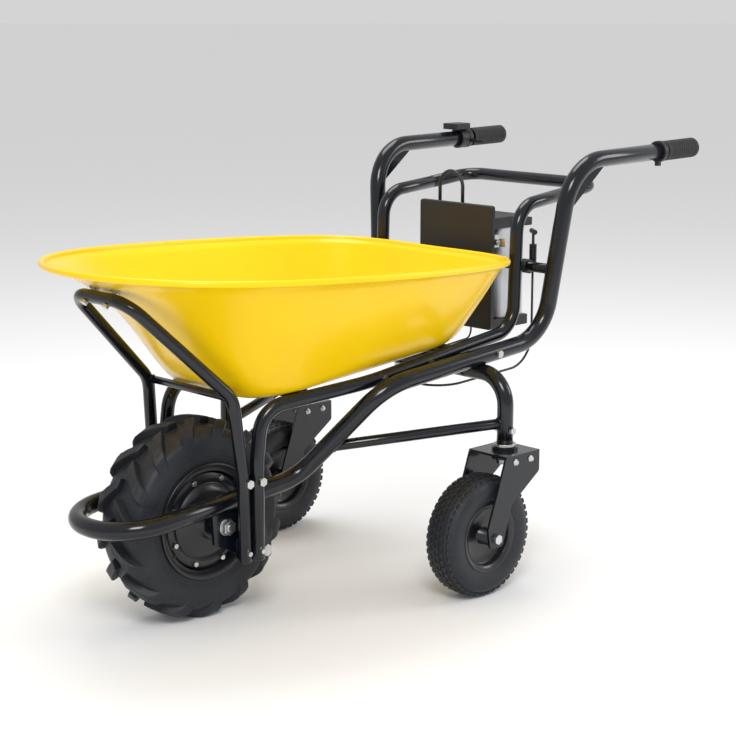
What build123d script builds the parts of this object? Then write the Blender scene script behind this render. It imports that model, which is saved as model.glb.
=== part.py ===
from build123d import *
import math
import os

os.makedirs("parts", exist_ok=True)

# Power wheelbarrow.  X runs from the tray nose to the handles, Y across, Z up, the floor at Z 0.
# Sizes are in mm.  Positions along X are measured from the drive axle, and put() moves them so
# that the origin lies under the middle of the machine.

# ---- overall sizes ----
wheel_d = 400            # drive wheel over its lugs
wheel_w = 122            # drive tyre over its side walls
caster_d = 254           # caster wheel
caster_w = 78            # caster tyre
handle_end = 1225        # drive axle to the end of the grips
handle_h = 876           # floor to the middle of a grip
handle_half = 290        # half the distance between the grips
nose_reach = 266         # drive axle forward to the tray nose
tray_rear = 680          # drive axle back to the tray's rear rim
tray_half = 328          # half the tray's greatest width
rim_h = 703              # rim above the floor, at the drive axle
rim_fall = 0.047         # fall of the rim towards the handles
floor_fall = 0.126       # fall of the tray floor towards the nose
bumper_reach = 246       # drive axle forward to the middle of the bumper tube

# ---- stock sizes ----
main_d = 36
main_wall = 2.5
tray_tube_d = 28
tray_tube_wall = 2.0
leg_d = 34
leg_wall = 2.5
brace_d = 22
bar_d = 22
thin_d = 16
sheet = 1.6              # tray floor
skin = 2.2               # tray wall, measured level
plate = 8.0
fit = 0.05               # radial clearance of a pin that turns in its hole
leg_clear = 6            # the tipping legs pass this far outside the main tubes
bead_d = 13              # rolled rim of the tray
bead_out = 4.5           # middle of the bead, outside the edge of the tray wall

x_mid = (handle_end - nose_reach - bead_out - bead_d / 2) / 2


def put(x, y, z):
    """A point given from the drive axle, in the part's own frame."""
    return Vector(x - x_mid, y, z)


def route(points, radii):
    return FilletPolyline(*[put(*p) for p in points], radius=radii)


def rod(path, d):
    """A solid bar of round section along a path."""
    start = Plane(origin=path @ 0, z_dir=path % 0)
    return sweep(start * Circle(d / 2), path=path)


def tube(path, d, wall):
    """A hollow tube along a path."""
    start = Plane(origin=path @ 0, z_dir=path % 0)
    return sweep(start * Circle(d / 2) - start * Circle(d / 2 - wall), path=path)


def pin(p, axis, d, length):
    """A round bar whose middle is at p."""
    base = Plane(origin=put(*p), z_dir=axis).offset(-length / 2)
    return extrude(base * Circle(d / 2), length)


def box(x, y, z):
    """A block between pairs of limits."""
    size = [x[1] - x[0], y[1] - y[0], z[1] - z[0]]
    mid = put((x[0] + x[1]) / 2, (y[0] + y[1]) / 2, (z[0] + z[1]) / 2)
    return Pos(*mid) * Box(*size)


def hex_head(p, axis, across, length):
    """A hexagon head or nut whose middle is at p."""
    base = Plane(origin=put(*p), z_dir=axis).offset(-length / 2)
    return extrude(base * RegularPolygon(across / 2, 6, major_radius=False), length)


def plate_xz(points, y, thick, radii=6):
    """A flat plate in the XZ plane, from y to y + thick."""
    corners = [put(x, 0, z) for x, z in points]
    face = make_face(Polyline(*[(c.X, c.Z) for c in corners], close=True))
    face = fillet(face.vertices(), radii)
    solid = extrude(face, thick)
    return Plane(origin=(0, y + thick, 0), x_dir=(1, 0, 0), z_dir=(0, -1, 0)) * solid


def other_side(shape):
    return mirror(shape, about=Plane.XZ)


def both(shape):
    return [shape, other_side(shape)]


def group(shapes):
    solids = []
    for s in shapes:
        solids += list(s.solids())
    return Compound(children=solids)


made = []


def save(shape, node):
    solids = list(shape.solids())
    whole = solids[0] if len(solids) == 1 else Compound(children=solids)
    export_step(whole, f"parts/{node}.step")
    made.append(node)


def save_pair(shape, node):
    """The left side is at -Y; the right side is its mirror image."""
    save(shape, f"{node}_left")
    save(other_side(shape), f"{node}_right")


# ---- main frame: one bent tube on each side, joined round the wheel by the bumper ----
bumper_half = 106
bumper_fall = 0.085
bumper_z = wheel_d / 2 + 48
joint_x = 30


def bumper_at(x):
    return bumper_z + bumper_fall * x


grip_p = (handle_end - 1, -handle_half, handle_h)
bend_top = (799, -handle_half - 4, handle_h - 8)
bend_low = (766, -250, 494)
bend_mid = (300, -243, 454)
bend_front = (186, -bumper_half, bumper_at(186))
joint_p = (joint_x, -bumper_half, bumper_at(joint_x))
main_route = route([grip_p, bend_top, bend_low, bend_mid, bend_front, joint_p], [105, 95, 105, 75])
main_solid = rod(main_route, main_d)
main_tube = tube(main_route, main_d, main_wall)
save_pair(main_tube, "main_tube")

front_x = -bumper_reach
bumper_route = route([joint_p,
                      (front_x, -bumper_half, bumper_at(front_x)),
                      (front_x, bumper_half, bumper_at(front_x)),
                      (joint_x, bumper_half, bumper_at(joint_x))],
                     [bumper_half - 3, bumper_half - 3])
save(tube(bumper_route, main_d, main_wall), "bumper_loop")

# rubber grips over the last part of the handles, with an end cap
grip_len = 112
grip_d = main_d + 8
grip_dir = Vector(*grip_p) - Vector(*bend_top)
grip_dir = grip_dir.normalized()


def on_handle(x):
    """The point on the straight left handle at x."""
    t = (x - grip_p[0]) / grip_dir.X
    return (x, grip_p[1] + grip_dir.Y * t, grip_p[2] + grip_dir.Z * t)


grip_axis = (grip_dir.X, grip_dir.Y, grip_dir.Z)
grip_mid = on_handle(handle_end - grip_len / 2)
grip = pin(grip_mid, grip_axis, grip_d, grip_len)
grip = fillet(grip.edges(), 3)
for k in range(9):
    ring = Plane(origin=put(*on_handle(handle_end - 19 - 10 * k)), z_dir=grip_axis)
    groove = extrude(ring * (Circle(grip_d) - Circle(grip_d / 2 - 1.2)), 3)
    grip -= groove
grip -= main_solid
save(group(both(grip)), "grips")

# gusset plates inside the upper bends
gusset_z = bend_top[2]
gusset = plate_xz([(792, gusset_z - 103), (794, gusset_z - 6), (915, gusset_z - 6)], -handle_half - 5, 5, 4)
gusset -= main_solid
gusset = max(gusset.solids(), key=lambda s: s.center().X)
save(group(both(gusset)), "bend_gussets")

# crossbar between the uprights: it carries the battery and the control box
bar_z = 640
rise = (bar_z - bend_low[2]) / (bend_top[2] - bend_low[2])
bar_x = bend_low[0] + rise * (bend_top[0] - bend_low[0])
bar_half = -(bend_low[1] + rise * (bend_top[1] - bend_low[1]))
crossbar = pin((bar_x, 0, bar_z), (0, 1, 0), bar_d, 2 * bar_half)
crossbar -= main_solid
crossbar -= other_side(main_solid)
save(crossbar, "crossbar")

# ---- rear legs: an inverted U under the main tubes, braced forward ----
leg_x = 574
leg_half = 317
leg_foot = 306
main_under = bend_mid[2] + (leg_x - bend_mid[0]) * (bend_low[2] - bend_mid[2]) / (bend_low[0] - bend_mid[0])
hoop_z = main_under - main_d / 2 - leg_d / 2 + 3
hoop_route = route([(leg_x, -leg_half, leg_foot), (leg_x, -leg_half, hoop_z),
                    (leg_x, leg_half, hoop_z), (leg_x, leg_half, leg_foot)], [62, 62])
hoop_solid = rod(hoop_route, leg_d)
hoop = tube(hoop_route, leg_d, leg_wall)
hoop -= main_solid
hoop -= other_side(main_solid)
save(hoop, "leg_hoop")

share = 0.66
brace_front = [a + share * (b - a) for a, b in zip(bend_mid, bend_front)]
brace_route = Line(put(leg_x, -leg_half, 348), put(*brace_front))
brace = tube(brace_route, brace_d, 2)
brace -= hoop_solid
brace -= main_solid
brace = max(brace.solids(), key=lambda s: s.volume)
save(group(both(brace)), "leg_braces")

# ---- drop-out plates: they hang from the main tubes and hold the axle and the tip pivots ----
axle_z = wheel_d / 2
axle_d = 16
pivot_x = 80
pivot_z = 142
pivot_d = 14
drop_y = -bumper_half - plate / 2
drop = plate_xz([(-34, 226), (-30, 168), (10, 150), (52, 118), (104, 122), (104, 168), (80, 226), (78, 262),
                 (-34, 250)], drop_y, plate, 7)
drop -= rod(bumper_route, main_d + 0.1)
drop -= main_solid
drop -= pin((0, drop_y, axle_z), (0, 1, 0), axle_d, 60)
drop -= pin((pivot_x, drop_y, pivot_z), (0, 1, 0), pivot_d + 2 * fit, 60)
drop = max(drop.solids(), key=lambda s: s.volume)
save(group(both(drop)), "dropouts")

# ---- drive wheel ----
rim_r = 104
cover_r = 98
cover_y = 40
stator_r = 80

axle = pin((0, 0, axle_z), (0, 1, 0), axle_d, 2 * (bumper_half + plate / 2 + 14.5))
save(axle, "drive_axle")

nut_y = -(bumper_half + plate / 2 + 1.6 + 5)
nut = hex_head((0, nut_y, axle_z), (0, 1, 0), 26, 10)
washer = pin((0, -(bumper_half + plate / 2 + 0.8), axle_z), (0, 1, 0), 34, 1.6)
spacer = pin((0, -(bumper_half - plate / 2 + 76) / 2, axle_z), (0, 1, 0), 26, bumper_half - plate / 2 - 76)
shaft_cut = pin((0, 0, axle_z), (0, 1, 0), axle_d, 400)
axle_hardware = [(s - shaft_cut) for s in (nut, washer, spacer)]
save(group([t for s in axle_hardware for t in both(s)]), "axle_hardware")

stator = pin((0, 0, axle_z), (0, 1, 0), 2 * stator_r, 52) - shaft_cut
save(stator, "motor_stator")


def turned(outline, z=axle_z, x=0, y=0):
    """A solid turned about a wheel axis from (radius, y) points."""
    face = make_face(Polyline(*[(r, w) for r, w in outline], close=True))
    solid = revolve(face, axis=Axis.Y)
    return Pos(*put(x, y, z)) * solid


rim = turned([(86, -cover_y), (cover_r + 2, -cover_y), (cover_r + 2, -54), (116, -60), (118, -58), (rim_r, -48),
              (rim_r, 48), (118, 58), (116, 60), (cover_r + 2, 54), (cover_r + 2, cover_y), (86, cover_y)])
save(rim, "drive_rim")

cover = turned([(axle_d / 2 + fit, 30), (84, 30), (84, cover_y), (cover_r, cover_y), (cover_r - 2, cover_y + 8),
                (60, cover_y + 18), (34, cover_y + 22), (30, 75), (axle_d / 2 + fit, 75)])
screw_ring = 88
screw_n = 8
screws = []
for k in range(screw_n):
    turn_by = math.radians(360 / screw_n * (k + 0.5))
    p = (screw_ring * math.cos(turn_by), cover_y + 12, axle_z + screw_ring * math.sin(turn_by))
    screws.append(hex_head(p, (0, 1, 0), 10, 10))
for s in screws:
    cover -= s
save(group(both(cover)), "motor_covers")
save(group([t for s in screws for t in both(s)]), "cover_screws")

tread_r = wheel_d / 2 - 11


def tyre_outline(bead_r, rim_w, wide, crown_r, grow=0.0):
    """Half section of a tyre between its beads; grow moves the skin inwards."""
    w = wide / 2 - grow
    top = crown_r - grow
    span = crown_r - bead_r
    pts = [(rim_w, bead_r), (w * 0.97, bead_r + span * 0.28), (w, bead_r + span * 0.52),
           (w * 0.93, bead_r + span * 0.80), (w * 0.72, bead_r + span * 0.95), (w * 0.35, top), (0, top + 1)]
    return pts


def tyre(bead_r, rim_w, wide, crown_r, wall, x, y, z):
    def skin(grow, base):
        half = tyre_outline(bead_r, rim_w - grow, wide, crown_r, grow)
        right = [(r, w) for w, r in half]
        left = [(r, -w) for w, r in reversed(half[:-1])]
        right[0] = (base, right[0][1])
        left[-1] = (base, left[-1][1])
        line = Spline(*(right + left)) + Line(left[-1], right[0])
        return revolve(make_face(line), axis=Axis.Y)
    solid = skin(0, bead_r) - skin(wall, bead_r - 6)
    return Pos(*put(x, y, z)) * solid


drive_tyre = tyre(rim_r, 46, wheel_w, tread_r, 9, 0, 0, axle_z)
lug_n = 15
lug_w = 17
lugs = []
for k in range(lug_n):
    for side in (-1, 1):
        a = 360 / lug_n * (k + (0.5 if side > 0 else 0.0))
        bar = Box(26, 70, lug_w)
        bar = Pos(tread_r + 2, side * 32, 0) * (Rot(side * 38, 0, 0) * bar)
        bar = Rot(0, a, 0) * bar
        lugs.append(Pos(*put(0, 0, axle_z)) * bar)
side_w = wheel_w / 2
lug_trim = turned([(tread_r - 14, 1 - side_w), (tread_r - 2, 5 - side_w), (wheel_d / 2, -34), (wheel_d / 2, 34),
                   (tread_r - 2, side_w - 5), (tread_r - 14, side_w - 1)])
for bar in lugs:
    drive_tyre += bar & lug_trim
save(drive_tyre - turned([(80, -70), (rim_r - 0.01, -70), (rim_r - 0.01, 70), (80, 70)]) - rim, "drive_tyre")

# ---- casters ----
trail = 80
caster_z = caster_d / 2
cx = leg_x - trail
cy = -leg_half
crown = 288             # underside of the fork's top plate
pin_d = 20
cr = caster_d / 2

stem = pin((leg_x, cy, leg_foot + 30), (0, 0, 1), leg_d - 2 * leg_wall, 60)
stem += pin((leg_x, cy, leg_foot - 3), (0, 0, 1), 46, 6)
stem += pin((leg_x, cy, 283), (0, 0, 1), pin_d, 40)
stem += hex_head((leg_x, cy, 268), (0, 0, 1), 30, 10)
save(group(both(stem)), "caster_stems")

clamp_bolt = pin((leg_x, cy, leg_foot + 28), (0, 1, 0), 8, leg_d + 6)
clamp_bolt += hex_head((leg_x, cy - leg_d / 2 - 4, leg_foot + 28), (0, 1, 0), 14, 6)
clamp_bolt += hex_head((leg_x, cy + leg_d / 2 + 4, leg_foot + 28), (0, 1, 0), 14, 6)
clamp_bolt -= (hoop_solid + stem)
frame_bolts = [t for s in clamp_bolt.solids() for t in both(s)]

fork_in = caster_w / 2 + 8
fork_t = 5
hub_top = pin((leg_x, cy, 287), (0, 0, 1), 54, 25)
yoke = box((leg_x - 52, leg_x + 50), (cy - fork_in - fork_t, cy + fork_in + fork_t), (crown, crown + 5))
fork_side = plate_xz([(leg_x - 52, crown + 5), (leg_x + 50, crown + 5), (leg_x + 50, crown - 40), (cx + 46, 190),
                      (cx + 20, 108), (cx - 18, 108), (cx - 24, 150), (leg_x - 78, 220)],
                     cy - fork_in - fork_t, fork_t, 9)
fork = yoke + fork_side + Pos(0, 2 * fork_in + fork_t, 0) * fork_side + hub_top
fork -= pin((leg_x, cy, 287), (0, 0, 1), pin_d + 2 * fit, 60)
fork -= pin((leg_x, cy, 268), (0, 0, 1), 40, 14)
fork -= pin((cx, cy, caster_z), (0, 1, 0), 12, 200)
save_pair(fork, "caster_fork")

c_axle = pin((cx, cy, caster_z), (0, 1, 0), 12, 2 * (fork_in + fork_t) + 14)
c_axle += hex_head((cx, cy - fork_in - fork_t - 4, caster_z), (0, 1, 0), 19, 8)
c_axle += hex_head((cx, cy + fork_in + fork_t + 4, caster_z), (0, 1, 0), 19, 8)
save_pair(c_axle, "caster_axle")

hub_r = 17
rim_seat = 66


def caster_rim(x, y, z):
    return turned([(6 + fit, -fork_in + 2), (hub_r, -fork_in + 2), (hub_r, -12), (rim_seat - 6, -18),
                   (rim_seat - 6, -31), (rim_seat + 8, -36), (rim_seat + 9, -33), (rim_seat, -27), (rim_seat, 27), (rim_seat + 9, 33),
                   (rim_seat + 8, 36), (rim_seat - 6, 31), (rim_seat - 6, 18), (hub_r, 12), (hub_r, fork_in - 2),
                   (6 + fit, fork_in - 2)], z, x, y)


c_rim = caster_rim(cx, cy, caster_z)
save_pair(c_rim, "caster_rim")
c_tyre = tyre(rim_seat, 26, caster_w, cr - 1, 7, cx, cy, caster_z)
save_pair(c_tyre - c_rim, "caster_tyre")

# ---- tipping frame ----
leg_y = -(bumper_half + main_d / 2 + leg_clear + tray_tube_d / 2)
rear_leg_x = 50
tray_r = tray_tube_d / 2
rail_y = -202


def floor_at(x):
    """Underside of the tray floor."""
    return 446 + floor_fall * (x - 100)


def rail_at(x):
    return floor_at(x) - tray_r - 0.4


rail_front = (64, leg_y, rail_at(64) + 4)
rail_kink = (300, -198, rail_at(300))
rail_rear = (724, rail_y, rail_at(724))
loop_low = (733, rail_y, 772)
loop_end = (1007, -190, 800)
joint_share = 0.54
rail_end = tuple(a + joint_share * (b - a) for a, b in zip(loop_low, loop_end))
rail_route = route([(rear_leg_x, leg_y, 132), (rear_leg_x, leg_y, 330), rail_front, rail_kink, rail_rear,
                    loop_low, rail_end], [120, 60, 400, 62, 62])
rail_solid = rod(rail_route, tray_tube_d)
save_pair(tube(rail_route, tray_tube_d, tray_tube_wall), "tray_rail")

lift_route = route([rail_end, loop_end, (loop_end[0], -loop_end[1], loop_end[2]),
                    (rail_end[0], -rail_end[1], rail_end[2])], [45, 45])
save(tube(lift_route, tray_tube_d, tray_tube_wall), "lift_loop")

nose_d = 25
nose_y = leg_y + tray_r - nose_d / 2
front_leg_x = rear_leg_x - tray_tube_d - 2
knee = (2, leg_y + 11, 459)
nose_corner = (-204, -84, 661)
nose_route = route([(front_leg_x, nose_y, 132), (front_leg_x - 4, nose_y, 300), knee, nose_corner,
                    (nose_corner[0], -nose_corner[1], nose_corner[2]), (knee[0], -knee[1], knee[2]),
                    (front_leg_x - 4, -nose_y, 300), (front_leg_x, -nose_y, 132)],
                   [200, 60, 50, 50, 60, 200])
nose_solid = rod(nose_route, nose_d)
nose_loop = tube(nose_route, nose_d, tray_tube_wall)

brace_z = knee[2] - 2
cross = pin((knee[0] + 4, 0, brace_z), (0, 1, 0), thin_d, -2 * knee[1] + 10)
cross -= nose_solid
cross = max(cross.solids(), key=lambda s: s.volume)
save(cross, "knee_crossbar")

foot_y = leg_y + tray_tube_d / 2
foot = plate_xz([(front_leg_x - 10, 172), (front_leg_x - 10, 136), (pivot_x - 12, 122), (pivot_x + 16, 126),
                 (pivot_x + 16, 160), (rear_leg_x + 14, 200), (rear_leg_x - 14, 200)], foot_y - 0.5, 6, 7)
foot -= rail_solid
foot -= nose_solid
foot -= pin((pivot_x, foot_y, pivot_z), (0, 1, 0), pivot_d, 60)
foot = max(foot.solids(), key=lambda s: s.volume)

# pivot bolts: fixed in the foot plates, they turn in the drop-out plates
head_out = foot_y - 0.5
pivot_len = drop_y + plate - head_out + 4
pivot = pin((pivot_x, (head_out + drop_y + plate) / 2, pivot_z), (0, 1, 0), pivot_d, pivot_len)
pivot += hex_head((pivot_x, head_out - 4.5, pivot_z), (0, 1, 0), 22, 9)
pivot += hex_head((pivot_x, drop_y + plate + 0.4 + 4.5, pivot_z), (0, 1, 0), 22, 9)
pivot += pin((pivot_x, (foot_y + 5.5 + drop_y - 0.4) / 2, pivot_z), (0, 1, 0), 26, drop_y - 0.4 - foot_y - 5.5)
save(group(both(pivot)), "pivot_bolts")

strap_y = foot_y - 0.5
strap = plate_xz([(front_leg_x - 13, 300), (front_leg_x - 13, 282), (rear_leg_x + 14, 282), (rear_leg_x + 14, 300)],
                 strap_y, 5, 3)
strap -= rail_solid
strap -= nose_solid
strap = max(strap.solids(), key=lambda s: s.volume)
save(group(both(foot) + both(strap)), "leg_plates")

leg_bolts = []
for x, y, r in ((front_leg_x, nose_y, nose_d / 2), (rear_leg_x, leg_y, tray_r)):
    leg_bolts.append(hex_head((x, y - r - 3, 291), (0, 1, 0), 16, 7) - rail_solid - nose_solid)
    leg_bolts.append(hex_head((x, y - r - 1, 151), (0, 1, 0), 9, 5) - rail_solid - nose_solid)

# ---- tray: pressed sheet, a flat sloping floor, flared sides and a rolled rim ----
rim_half = [(-nose_reach, 0), (-240, 120), (-160, 226), (-20, 296), (210, tray_half), (430, tray_half - 6),
            (575, 292), (652, 240), (tray_rear, 168), (tray_rear + 1, 0)]
floor_half = [(46, 0), (47, 62), (62, 118), (112, 156), (250, 180), (420, 196), (520, 196), (570, 172), (588, 128),
              (590, 0)]
tray_mid = 300
nose_hollow = 42         # how far the nose face is hollowed, so that it clears the nose tube


def nose_share(x):
    """1 at the front edge of the floor, falling to 0 further back."""
    return min(max((120 - x) / 60, 0), 1)


def rim_at(x):
    return rim_h - rim_fall * x


def outline(share, inset, lift):
    """A flat closed section of the tray; share 0 is the floor plane and 1 the rim plane."""
    pts = []
    for (rx, ry), (fx, fy) in zip(rim_half, floor_half):
        run = rx - fx
        climb = rim_at(rx) - floor_at(fx)
        slope = (1 - share) * floor_fall - share * rim_fall
        part = share * (rim_at(fx) - floor_at(fx)) / (climb - run * slope)
        x = fx + run * part + nose_hollow * nose_share(fx) * 6.75 * part * part * (1 - part)
        y = fy + (ry - fy) * part
        size = math.hypot(x - tray_mid, y)
        x -= inset * (x - tray_mid) / size
        y -= inset * y / size
        z = (1 - share) * floor_at(x) + share * rim_at(x) + lift
        pts.append((x, y, z))
    right = [put(x, y, z) for x, y, z in pts]
    left = [put(x, -y, z) for x, y, z in reversed(pts[1:-1])]
    return right + left


def wire_at(share, inset, lift=0):
    return Wire(Spline(*outline(share, inset, lift), periodic=True))


# each section: its height as a share of the wall, how far it is drawn in, and its lift
steps = [(0.0, 24, 0), (0.012, 14, 0), (0.035, 6, 0), (0.08, 1, 0), (0.2, -2, 0), (0.5, -4, 0), (0.8, -2, 0),
         (1.0, 0, 0)]
inner_steps = [(share, inset + skin, sheet) for share, inset, lift in steps[:-1]]
inner_steps.append((1.03, skin, sheet + 6))


def lofted(sections):
    """A solid through closed sections, with its faces turned outwards."""
    solid = Solid.make_loft([wire_at(*section) for section in sections], ruled=True)
    return solid if solid.volume > 0 else Solid(solid.wrapped.Reversed())


tray = lofted(steps) - lofted(inner_steps)
bead_path = wire_at(1.0, -bead_out, -3)
bead_start = Plane(origin=bead_path @ 0, z_dir=bead_path % 0)
tray += sweep(bead_start * Circle(bead_d / 2), path=bead_path)
rail_clear = [rail_solid, other_side(rail_solid), nose_solid]

# cross straps between the rails, under the tray floor
strap_x = [140, 520]
strap_half = 16
straps = []
for x in strap_x:
    bar = box((x - strap_half, x + strap_half), (rail_y, -rail_y), (-2, 2))
    lean = math.degrees(math.atan(floor_fall))
    bar = Pos(0, 0, floor_at(x) - 2.6) * (Rot(0, -lean, 0) * (Pos(x_mid - x, 0, 0) * bar))
    bar = Pos(x - x_mid, 0, 0) * bar
    for r in rail_clear:
        bar -= r
    straps.append(max(bar.solids(), key=lambda s: s.volume))

latch_bar_p = (548, 0, floor_at(548) - 26)
catch = pin(latch_bar_p, (0, 1, 0), 12, -2 * rail_y)
for r in rail_clear:
    catch -= r
catch = max(catch.solids(), key=lambda s: s.volume)
save(catch, "catch_bar")

# bolts that hold the tray: one through each strap, two through the nose tube
tray_bolts = []
up = Vector(-math.sin(math.radians(lean)), 0, math.cos(math.radians(lean)))
for x in strap_x:
    z = floor_at(x)
    axis = (up.X, up.Y, up.Z)
    shank = pin((x, 0, z - 2), axis, 8, 12)
    dome = pin((x + up.X * 4, 0, z + sheet / up.Z + 2.2), axis, 20, 4)
    nut = hex_head((x - up.X * 8, 0, z - 4.7 - 3.4), axis, 13, 6.4)
    tray_bolts.append(shank + dome + nut)
nose_dir = Vector(knee[0] - nose_corner[0], 0, knee[2] - nose_corner[2]).normalized()
face_up = Vector(-nose_dir.Z, 0, nose_dir.X)
nose_axis = (face_up.X, face_up.Y, face_up.Z)
for y in (-33, 33):
    c = Vector(nose_corner[0], y, nose_corner[2])
    top = c + face_up * (nose_d / 2 + 5)
    shank = pin(tuple(c + face_up * 1), nose_axis, 8, nose_d + 14)
    dome = pin(tuple(top), nose_axis, 20, 4)
    nut = hex_head(tuple(c - face_up * (nose_d / 2 + 3)), nose_axis, 13, 6)
    tray_bolts.append(shank + dome + nut)
for b in tray_bolts:
    tray -= b
    nose_loop -= b
    straps = [t - b for t in straps]
save(group(straps), "floor_straps")
save(group(tray_bolts), "tray_bolts")
save(tray, "tray")
save(nose_loop, "nose_loop")

# bolt heads on the outer sides of the rails and of the main tubes
heads = []
for x in (330, 460):
    heads.append(hex_head((x, rail_y - tray_r + 2, rail_at(x)), (0, 1, 0), 12, 6) - rail_solid)
save(group([t for h in heads + leg_bolts for t in both(h)]), "tip_frame_bolts")
main_at = main_under + (610 - leg_x) * (bend_low[2] - bend_mid[2]) / (bend_low[0] - bend_mid[0])
head = hex_head((610, -248 - main_d / 2 - 1, main_at), (0, 1, 0), 14, 9) - main_solid
save(group(frame_bolts + both(head)), "frame_bolts")

# rubber pads on the leg hoop, where the rails come to rest
pad_top = rail_at(leg_x - 15) - tray_r - 1
pad = box((leg_x - 15, leg_x + 15), (rail_y - 14, rail_y + 14), (hoop_z, pad_top)) - hoop_solid
pad = max(pad.solids(), key=lambda s: s.center().Z)
save(group(both(pad)), "rest_pads")

# ---- tray latch: a sprung cross shaft with two hooks, in blocks clamped on the leg hoop ----
shaft_d = 12
shaft_x = 600
shaft_z = 460
block_spans = [(-180, -118), (-98, -44), (116, 178)]
blocks = []
shaft_hole = pin((shaft_x, 0, shaft_z), (0, 1, 0), shaft_d + 2 * fit, 500)
for a, b in block_spans:
    block = plate_xz([(553, 434), (553, 468), (584, 474), (614, 474), (614, 444), (598, 430)], a, b - a, 6)
    block -= hoop_solid
    block -= shaft_hole
    blocks.append(max(block.solids(), key=lambda s: s.volume))
save(group(blocks), "latch_blocks")

shaft = pin((shaft_x, 0, shaft_z), (0, 1, 0), shaft_d, 376)
save(shaft, "latch_shaft")
hook = plate_xz([(592, 456), (611, 450), (611, 472), (584, 493), (555.5, 492), (555.5, 485), (577, 481)],
                0, 5, 2)
hook -= pin((shaft_x, 0, shaft_z), (0, 1, 0), shaft_d, 60)
hooks = [Pos(0, y, 0) * hook for y in (22, 92)]
lever = plate_xz([(589, 471), (611, 471), (611, 447), (611, 405), (598, 405), (597, 440)], -12, 5, 4)
lever -= pin((shaft_x, 0, shaft_z), (0, 1, 0), shaft_d, 60)
lever = max(lever.solids(), key=lambda s: s.volume)
save(group(hooks + [lever]), "latch_plates")

coil_turns = 7
coil = Helix(pitch=3.2, height=3.2 * coil_turns, radius=8.6, center=(0, 0, 0), direction=(0, 0, 1))
wire = sweep(Plane(origin=coil @ 0, z_dir=coil % 0) * Circle(0.9), path=coil)
spring = Pos(*put(shaft_x, 46, shaft_z)) * (Rot(-90, 0, 0) * wire)
save(spring, "latch_spring")

# release knob on a post behind the crossbar, and its cable down to the latch lever
knob_x = bar_x + 20.12
knob_y = -190
post_low = 628
post_top = 686
post = pin((knob_x, knob_y, (post_low + post_top) / 2), (0, 0, 1), 16, post_top - post_low)
post += pin((bar_x, knob_y, bar_z), (0, 1, 0), bar_d + 9, 18)
post -= pin((bar_x, knob_y, bar_z), (0, 1, 0), bar_d, 40)
post -= pin((knob_x, knob_y, 670), (0, 0, 1), 6 + 2 * fit, 60)
save(max(post.solids(), key=lambda s: s.volume), "knob_post")
knob = pin((knob_x, knob_y, 681), (0, 0, 1), 6, 62)
tee = pin((knob_x, knob_y, 713), (0.6, 0.8, 0), 11, 36)
tee = fillet(tee.edges(), 2)
save(knob + tee, "release_knob")

cable_d = 5
cable_y = -9.5
cable_z = 410
cable_route = route([(knob_x, knob_y, post_low), (knob_x, knob_y, 424), (515, knob_y, cable_z),
                     (515, cable_y, cable_z), (580, cable_y, cable_z)], [70, 60, 50])
cable = rod(cable_route, cable_d)
print("release cable", round(cable_route.length), "mm, bends 70, 60 and 50, tube over section",
      round(cable.volume / (math.pi * cable_d ** 2 / 4)))
save(cable, "release_cable")
stop = box((566, 578), (cable_y - 8, cable_y + 8), (cable_z - 8, hoop_z))
stop -= pin((570, cable_y, cable_z), (1, 0, 0), cable_d, 60)
stop -= hoop_solid
save(min(stop.solids(), key=lambda s: s.center().Z), "cable_stop")

# ---- power pack on the crossbar ----
pack_half = 109
pack_low = 490
pack_top = 764
cover_x = bar_x - bar_d / 2 - 13.88
cover_t = 12
front = box((cover_x, cover_x + cover_t), (-pack_half, pack_half), (pack_low, pack_top))
front = fillet(front.edges().filter_by(Axis.X), 7)
front = fillet(front.faces().sort_by(Axis.X)[0].edges(), 3)
save(front, "pack_cover")
back_x = bar_x + bar_d / 2 + 4
clamps = []
for y in (-62, 62):
    c = box((cover_x + cover_t, back_x), (y - 12, y + 12), (bar_z - 20, bar_z + 20))
    clamps.append(c - pin((bar_x, 0, bar_z), (0, 1, 0), bar_d, 400))
save(group(clamps), "pack_clamps")
base = box((cover_x + cover_t, 884), (-pack_half + 3, pack_half - 3), (pack_low, pack_low + 22))
base = fillet(base.edges().filter_by(Axis.Z), 5)
save(base, "pack_base")
case_low = pack_low + 22
case_top = 712
case = box((back_x, 876), (-99, 99), (case_low, case_top))
case = fillet(case.edges().filter_by(Axis.Z), 9)
save(case, "battery_case")
lid = box((cover_x + cover_t, 882), (-102, 102), (case_top, case_top + 24))
lid = fillet(lid.edges().filter_by(Axis.Z), 7)
lid = fillet(lid.faces().sort_by(Axis.Z)[-1].edges(), 3)
port = box((858, 880), (-116, -100), (case_top + 2, case_top + 20))
lid += fillet(port.edges().filter_by(Axis.Y), 3)
save(lid, "battery_lid")

key_p = (774, -102, 684)
barrel = pin((key_p[0], -106, key_p[2]), (0, 1, 0), 15, 14)
barrel_seat = box((cover_x + cover_t, 790), (-105, -99.5), (672, 700))
barrel -= pin((key_p[0], -112, key_p[2]), (0, 1, 0), 7 + 2 * fit, 8)
barrel_seat = barrel_seat + barrel
save(barrel_seat, "key_switch")
key = pin((key_p[0], -113, key_p[2]), (0, 1, 0), 7, 6)
key += box((key_p[0] - 1.2, key_p[0] + 1.2), (-132, -115), (key_p[2] - 9, key_p[2] + 9))
save(key, "key")

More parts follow.
